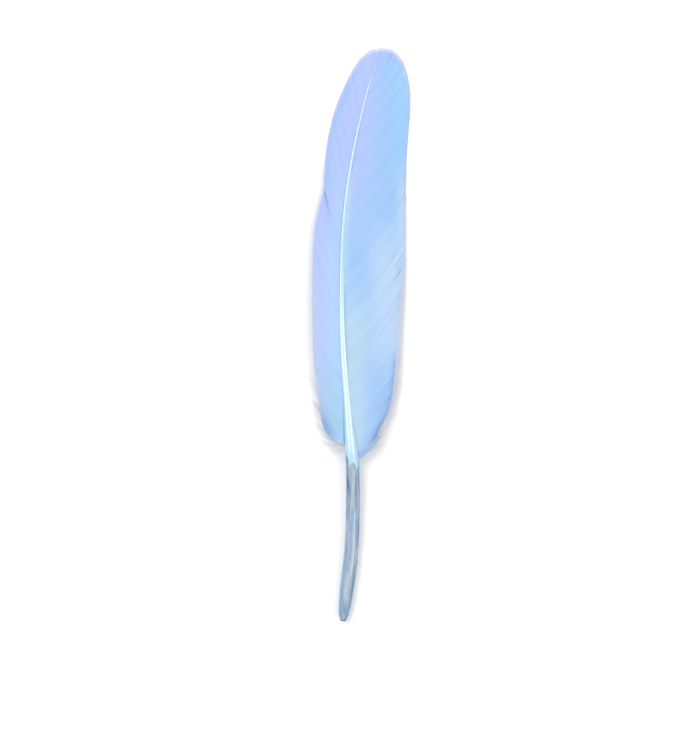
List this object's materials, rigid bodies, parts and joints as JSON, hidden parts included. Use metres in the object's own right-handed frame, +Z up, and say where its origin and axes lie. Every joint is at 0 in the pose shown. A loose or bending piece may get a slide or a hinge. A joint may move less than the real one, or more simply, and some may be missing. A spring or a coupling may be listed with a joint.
{
  "type": "goose feather",
  "caption": "Dyed goose quill feather lying flat: a clear round quill, a pale tapering ridge, a narrow and a wide smooth vane, and loose down at their foot.",
  "frame": {"origin": "on the resting surface, under the middle of the feather's box", "axes": "+Y from the quill's blunt end to the tip of the vane, +X towards the wide vane, +Z up, away from the surface"},
  "size_m": [0.0322, 0.1802, 0.0068],
  "materials": {
    "vane": "silky barbs, dyed pale blue",
    "quill": "clear glossy horn, tinted pale blue"
  },
  "bodies": {
    "root": {"feather": "vane"}
  },
  "joints": []
}
